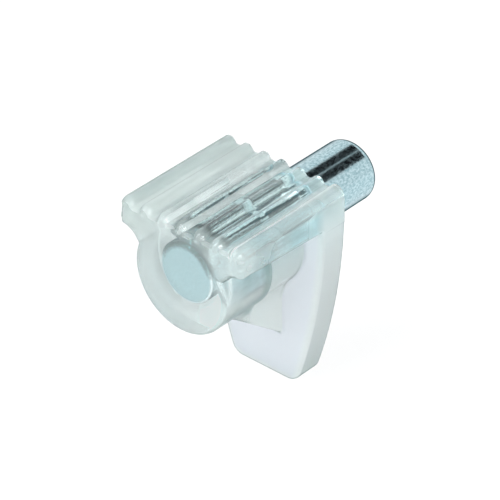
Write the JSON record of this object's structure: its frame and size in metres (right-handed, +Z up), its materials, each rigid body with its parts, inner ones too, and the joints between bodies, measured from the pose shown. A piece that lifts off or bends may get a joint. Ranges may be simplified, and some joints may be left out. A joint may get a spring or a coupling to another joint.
{
  "type": "shelf support pin",
  "caption": "Clear plastic shelf support with a ribbed pad, a round boss and a wall leg, on a steel pin that plugs into a cabinet side.",
  "frame": {"origin": "on the pin's axis, in the plane where the bracket bears on the cabinet side", "axes": "+Y along the pin into the cabinet side, +Z up towards the shelf, +X across the bracket"},
  "size_m": [0.0118, 0.0195, 0.0175],
  "materials": {
    "clear_plastic": "clear moulded plastic, smooth and glossy, very slightly grey-green",
    "steel": "zinc-plated steel with a cool blue tint and a faint grain"
  },
  "bodies": {
    "root": {"bracket": "clear_plastic", "pin": "steel"}
  },
  "joints": []
}
